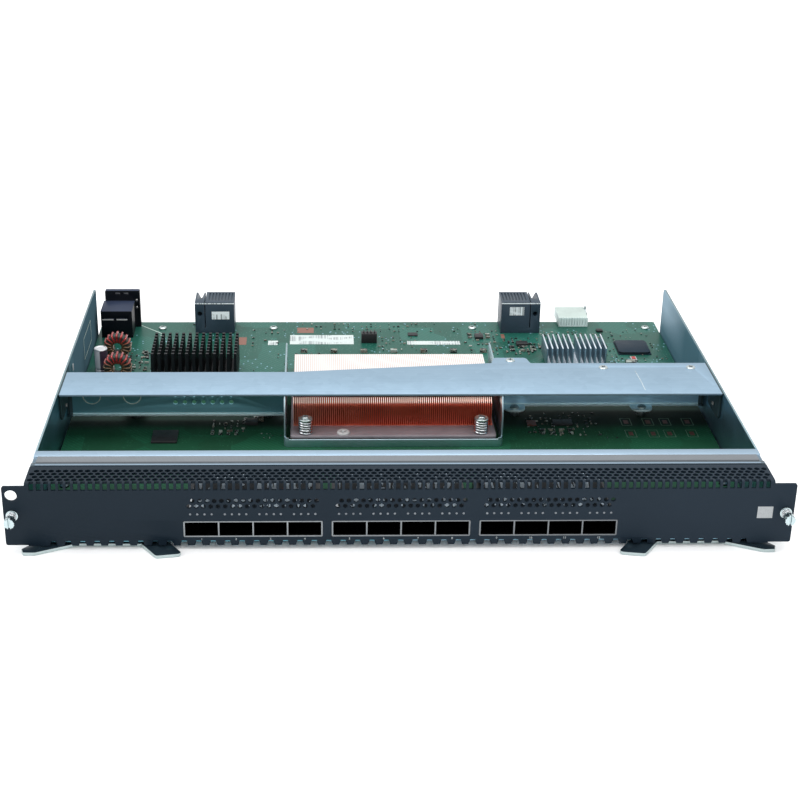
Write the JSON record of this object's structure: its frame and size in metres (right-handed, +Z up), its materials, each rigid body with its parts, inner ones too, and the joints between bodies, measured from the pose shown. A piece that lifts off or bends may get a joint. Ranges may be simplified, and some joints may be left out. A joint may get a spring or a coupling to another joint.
{
  "type": "switch line card",
  "caption": "Slide-in network switch line card with a port faceplate, open steel tray, main board, heatsinks, ejector levers and backplane connectors.",
  "frame": {"origin": "middle of the footprint, on the plane that the tray and the levers stand on", "axes": "+Z up, +Y from the faceplate towards the backplane, +X to the right seen from the front"},
  "size_m": [0.4364, 0.34, 0.0423],
  "materials": {
    "black_paint": "satin",
    "zinc_steel": "satin",
    "gasket_foam": "matte",
    "bright_steel": "satin",
    "thumb_steel": "satin",
    "guide_plastic": "gloss",
    "spring_steel": "satin",
    "cage_nickel": "satin",
    "sink_aluminium": "satin",
    "fin_copper": "satin",
    "rivet_steel": "satin",
    "black_sink": "satin",
    "board_green": "gloss",
    "connector_black": "matte",
    "chip_black": "matte",
    "connector_slate": "satin",
    "connector_beige": "satin",
    "signal_clip_steel": "satin",
    "power_black": "satin",
    "capacitor_can": "satin",
    "choke_ferrite": "matte",
    "chip_parts": "satin",
    "lever_zinc": "satin"
  },
  "bodies": {
    "card": {"faceplate": "black_paint", "tray": "zinc_steel", "top_rail": "zinc_steel", "crossbar": "zinc_steel", "air_duct": "zinc_steel", "board_standoffs": "zinc_steel", "crossbar_posts": "zinc_steel", "crossbar_spacers": "zinc_steel", "rail_gasket": "gasket_foam", "board_screws": "bright_steel", "crossbar_screws": "bright_steel", "heatsink_screws": "bright_steel", "left_lever_pivot": "bright_steel", "right_lever_pivot": "bright_steel", "left_lever_spacer": "bright_steel", "right_lever_spacer": "bright_steel", "left_thumb_ferrule": "bright_steel", "right_thumb_ferrule": "bright_steel", "heatsink_springs": "spring_steel", "left_thumb_spring": "spring_steel", "right_thumb_spring": "spring_steel", "port_cage_left": "cage_nickel", "port_cage_middle": "cage_nickel", "port_cage_right": "cage_nickel", "cage_heatsinks": "sink_aluminium", "heatsink_base": "sink_aluminium", "fin_heatsink": "sink_aluminium", "heatsink_fins": "fin_copper", "choke_windings": "fin_copper", "heatsink_rivet": "rivet_steel", "light_guide_left": "guide_plastic", "light_guide_middle": "guide_plastic", "light_guide_right": "guide_plastic", "pin_heatsink": "black_sink", "main_board": "board_green", "port_connectors": "connector_black", "pin_header": "connector_black", "switch_chip": "chip_black", "pin_heatsink_chip": "chip_black", "fin_heatsink_chip": "chip_black", "control_chip": "chip_black", "front_chip": "chip_black", "backplane_connector_left": "connector_slate", "backplane_connector_right": "connector_slate", "signal_connector": "connector_beige", "signal_clip": "signal_clip_steel", "power_connector": "power_black", "bulk_capacitor": "capacitor_can", "choke_cores": "choke_ferrite", "surface_parts": "chip_parts"},
    "left_lever": {"left_lever": "lever_zinc"},
    "right_lever": {"right_lever": "lever_zinc"},
    "left_thumb_slide": {"left_thumb_washer": "thumb_steel"},
    "right_thumb_slide": {"right_thumb_washer": "thumb_steel"},
    "left_thumb": {"left_thumb_screw": "thumb_steel"},
    "right_thumb": {"right_thumb_screw": "thumb_steel"}
  },
  "joints": [
    {"name": "left_lever_swing", "type": "hinge", "parent": "card", "child": "left_lever", "pos_m": [-0.188, -0.149, 0.001], "axis": [0, 0, -1], "range_deg": [0, 50]},
    {"name": "right_lever_swing", "type": "hinge", "parent": "card", "child": "right_lever", "pos_m": [0.188, -0.149, 0.001], "axis": [0, 0, 1], "range_deg": [0, 50]},
    {"name": "left_thumb_press", "type": "slide", "parent": "card", "child": "left_thumb_slide", "axis": [0, 1, 0], "range_m": [0, 0.0034], "stiffness_N_per_m": 300, "deforming": ["left_thumb_spring"]},
    {"name": "left_thumb_turn", "type": "hinge", "parent": "left_thumb_slide", "child": "left_thumb", "pos_m": [-0.2134, -0.1655, 0.022], "axis": [0, 1, 0], "continuous": true},
    {"name": "right_thumb_press", "type": "slide", "parent": "card", "child": "right_thumb_slide", "axis": [0, 1, 0], "range_m": [0, 0.0034], "stiffness_N_per_m": 300, "deforming": ["right_thumb_spring"]},
    {"name": "right_thumb_turn", "type": "hinge", "parent": "right_thumb_slide", "child": "right_thumb", "pos_m": [0.2134, -0.1655, 0.022], "axis": [0, 1, 0], "continuous": true}
  ]
}
